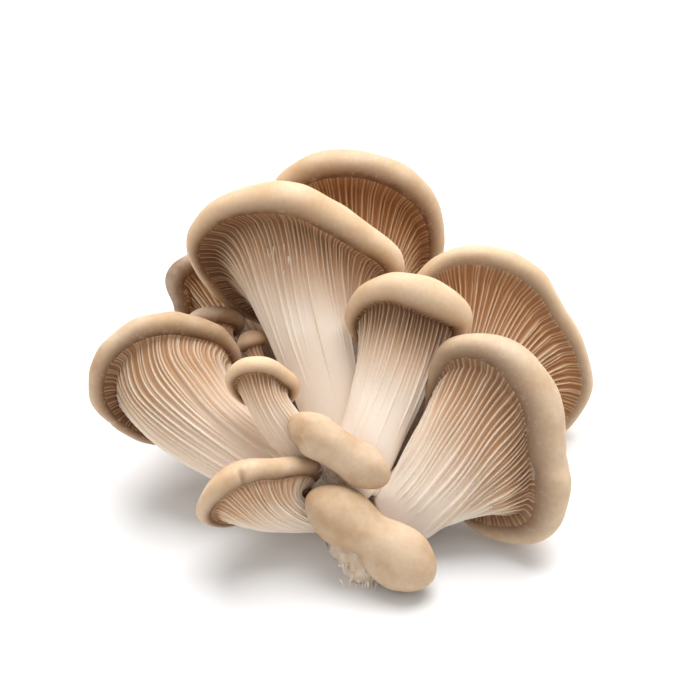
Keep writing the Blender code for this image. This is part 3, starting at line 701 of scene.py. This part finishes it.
behind_left = Mushroom(
    middle=(-47, 92, 52), faces=(-0.2, 0.8, 0.55), reach=(11, 10, 9, 9, 10, 11, 11, 10, 9.5, 9.5, 9.5, 10.5),
    roll=(3.0, 3.0, 3.0, 2.5), curl=105, dome=3, foot=(-12, 46, 60), bend=(-34, 62, 62),
    throat=(-45, 86, 52), thick=(4, 3), deep=0.9, seed=22)
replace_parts(stem_and_gills("behind_left_stem", behind_left, apart=1.3, tall=0.6, rise=(-0.5, 0.3), wave=0.2,
                           warmth=(0.4, 0.6), rows=44), "stem_behind_left")
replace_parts(cap("behind_left_cap", behind_left, grey=0.3, age=0.75, columns=140), "cap_behind_left")


# The bud
# The youngest of the clump, a pinkish button of flesh that hasn't opened, wedged beside the tall stem on a
# thin stem of its own.

bud = Mushroom(
    middle=(-33, 86, 49), faces=(-0.3, 0.9, 0.2),
    reach=(5.4, 5.4, 5, 4.8, 5, 5.2, 5.4, 5.5, 5.6, 5.6, 5.6, 5.5),
    roll=(2.0, 2.0, 2.0, 2.0), curl=95, dome=2, foot=(-9, 46, 46), bend=(-23, 60, 46), throat=(-32, 79, 50),
    thick=(2.5, 1.5), deep=1.0, seed=23)
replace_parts(stem_and_gills("bud_stem", bud, apart=1.3, tall=0.3, rise=(-0.5, 0.3), wave=0.1,
                           warmth=(0.4, 0.6), rows=34), "stem_bud")
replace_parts(cap("bud_cap", bud, grey=0.1, age=0.2, columns=90), "cap_bud")


# The butt
# The common foot that all the stems grow from, cut from the log with a knife: white fibrous flesh, torn at
# its lower edge.

BUTT_MIDDLE = face_place((7.5, 18.5, 30))
BUTT_RADIUS = 14.0
BUTT_TOE = face_place((6, 5.5, 12))
TOE_WIDTH = 0.55  # angle at the middle, in radians, over which the ball falls back from the toe


def butt_grid(rows=60, columns=120):
    """A ball drawn out to a toe in front, roughened as torn fibres are, which the table then cuts flat."""
    tilt = np.pi * (np.arange(rows) + 1)[:, None] / (rows + 1)
    turn = 2 * np.pi * np.arange(columns)[None, :] / columns
    ball = np.stack([np.sin(tilt) * np.cos(turn), -np.sin(tilt) * np.sin(turn), -np.cos(tilt) + 0 * turn],
                    axis=-1)
    surface = ball * BUTT_RADIUS
    rough = 0.6 * drift(surface, 5.0, 31) + 0.4 * drift(surface * (3, 1, 1), 4.0, 32)
    toe = BUTT_TOE - BUTT_MIDDLE
    reach = np.linalg.norm(toe) - BUTT_RADIUS
    apart = np.arccos(np.clip(ball @ (toe / np.linalg.norm(toe)), -1, 1))
    return BUTT_MIDDLE + (BUTT_RADIUS + rough + reach * np.exp(-(apart / TOE_WIDTH) ** 2))[..., None] * ball


butt_skin = butt_grid()
no_clefts = np.zeros(butt_skin.shape[:2])
butt = closed_skin("butt_flesh", butt_skin, [butt_skin[0].mean(axis=0), butt_skin[-1].mean(axis=0)], flesh, {
    "cleft": no_clefts,
    "warmth": 0.3 + 0.3 * drift(butt_skin, 7.0, 33),
    "grain": butt_skin,
    "brown_and_painted_shade": no_clefts,
})
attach(butt, "root")
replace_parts(butt, "butt")


# Torn shreds of flesh
# Ribbons of the same flesh that stand off where the clump was pulled from its log and where stems rubbed: a
# fringe under the butt, brown ones under the small bolster, and a few torn ends of gills.


def shreds(name, roots, tips, width, brown, seed):
    """Ribbons from roots to tips, bowed to one side, oval across, as wide as told at the root at most, and a
    point at the tip."""
    draw = np.random.default_rng(seed)
    count, rows, columns = len(roots), 7, 8
    share = np.linspace(0, 1, rows)[None, :, None]
    turn = 2 * np.pi * np.arange(columns) / columns
    way = unit(tips - roots)
    side = unit(np.cross(way, draw.normal(size=(count, 3))))
    flat = np.cross(side, way)
    bow = 0.2 * np.linalg.norm(tips - roots, axis=-1)[:, None, None] * np.sin(np.pi * share)
    line = roots[:, None] + (tips - roots)[:, None] * share + bow * side[:, None]
    half = width * draw.uniform(0.5, 1.0, (count, 1, 1)) * (1 - 0.9 * share**2)
    across = np.cos(turn)[:, None] * flat[:, None, None] + 0.3 * np.sin(turn)[:, None] * side[:, None, None]
    grid = line[:, :, None] + half[..., None] * across
    ends = np.stack([roots, line[:, -1] + 0.1 * way], axis=1)
    level = np.zeros(grid.shape[:3])
    piece = closed_skin(name, grid, ends, flesh, {
        "cleft": level, "warmth": level + 0.4, "grain": grid, "brown_and_painted_shade": level + brown})
    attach(piece, "root")


def scattered(draw, count, middle, spread):
    """Places on the clump's face, drawn evenly from a box round its middle."""
    drawn = draw.uniform(-1, 1, (count, 3))
    return np.array([face_place(spot) for spot in middle + drawn * spread])


draw = np.random.default_rng(41)
butt_roots = scattered(draw, 70, (5.0, 7.0, 13.0), (8.0, 4.0, 2.5))
butt_tips = butt_roots + np.array([0, -1.2, -1.6]) + draw.normal(0, 0.7, (70, 3))
shreds("butt_shreds", butt_roots, butt_tips, 0.6, 0.0, 42)
brown_roots = scattered(draw, 40, (-3.5, 39.5, 13.5), (5.5, 4.0, 4.0))
brown_tips = brown_roots + np.array([0, -1.5, -1.0]) + draw.normal(0, 1.3, (40, 3))
shreds("brown_shreds", brown_roots, brown_tips, 0.6, 0.35, 43)

TORN_ENDS = 7  # torn gills of a mushroom, each on a line of its own up the gilled face
TORN_LIFTS = 0.8, 1.9  # how far their roots and tips stand off the bare surface
along = np.linspace(-1, 1, 74)[:, None]
line = np.arange(TORN_ENDS)
for name, shape, first, last in (("tall_torn_gills", tall_centre, 0.28, 0.36),
                                 ("right_torn_gills", back_right, 0.3, 0.4)):
    surface = shape.bare(along, np.linspace(first, last, TORN_ENDS + 2)[None, :])
    out = faces_out(surface)
    row = draw.integers(50, 62, TORN_ENDS)
    torn_roots = (surface + TORN_LIFTS[0] * out)[row, line + 1]
    torn_tips = (surface + TORN_LIFTS[1] * out)[row - 3, line + 1]
    shreds(name, torn_roots, torn_tips, 0.4, 0.0, 44)


# The studio
# A matt white table top under a broad soft sun from behind and above, a little from the right, as from a
# large window. The rest of the room is dimmer, dimmest low in front, so the rolled edges shade the gills.

LIGHT_FROM = unit(np.array([0.12, 0.5, 1.0]))
TABLE_HALF = 3  # metres

floor_mesh = bpy.data.meshes.new("table_top")
floor_mesh.from_pydata([(-TABLE_HALF, -TABLE_HALF, 0), (TABLE_HALF, -TABLE_HALF, 0),
                        (TABLE_HALF, TABLE_HALF, 0), (-TABLE_HALF, TABLE_HALF, 0)], [], [(0, 1, 2, 3)])
white = bpy.data.materials.new("matt_white_board")
white.use_nodes = True
white.node_tree.nodes["Principled BSDF"].inputs["Base Color"].default_value = colour("#E6E6E6")
white.node_tree.nodes["Principled BSDF"].inputs["Roughness"].default_value = 0.9
floor_mesh.materials.append(white)
floor = bpy.data.objects.new("table_top", floor_mesh)
bpy.context.scene.collection.objects.link(floor)

world = bpy.data.worlds.new("studio")
world.use_nodes = True
walls = world.node_tree
looking = add(walls, "ShaderNodeTexCoord", {}).outputs["Generated"]
toward = add(walls, "ShaderNodeVectorMath", {0: looking, 1: LIGHT_FROM}, operation="DOT_PRODUCT")
glow = add(walls, "ShaderNodeMapRange", {"Value": toward.outputs["Value"], 1: -0.6, 2: 1.0, 3: 0.45, 4: 0.9})
walls.links.new(glow.outputs[0], walls.nodes["Background"].inputs["Strength"])
walls.nodes["Background"].inputs["Color"].default_value = colour("#FFFFFF")
bpy.context.scene.world = world

sun = bpy.data.lights.new("window", "SUN")
sun.energy, sun.angle = 3.8, math.radians(55)
window = bpy.data.objects.new("window", sun)
heading = math.atan2(LIGHT_FROM[1], LIGHT_FROM[0])
window.rotation_euler = (math.acos(LIGHT_FROM[2]), 0, heading + math.pi / 2)
bpy.context.scene.collection.objects.link(window)

VIEW_DISTANCE = 1150.0
SENSOR_WIDTH = 36
VIEW_WIDTH = 690 * 0.35  # millimetres across the picture at the clump, 690 pixels of 0.35
aim = face_place((0, 85, 35))
backward = np.array([0, -math.cos(FACE_LOOKS_UP), math.sin(FACE_LOOKS_UP)])
camera = bpy.data.objects.new("camera", bpy.data.cameras.new("camera"))
camera.data.lens = SENSOR_WIDTH * VIEW_DISTANCE / VIEW_WIDTH
camera.data.clip_start, camera.data.clip_end = 0.05, 20
camera.location = (aim + VIEW_DISTANCE * backward) * MM
camera.rotation_euler = (math.pi / 2 - FACE_LOOKS_UP, 0, 0)
bpy.context.scene.collection.objects.link(camera)
bpy.context.scene.camera = camera
bpy.context.scene.view_settings.view_transform = "Standard"
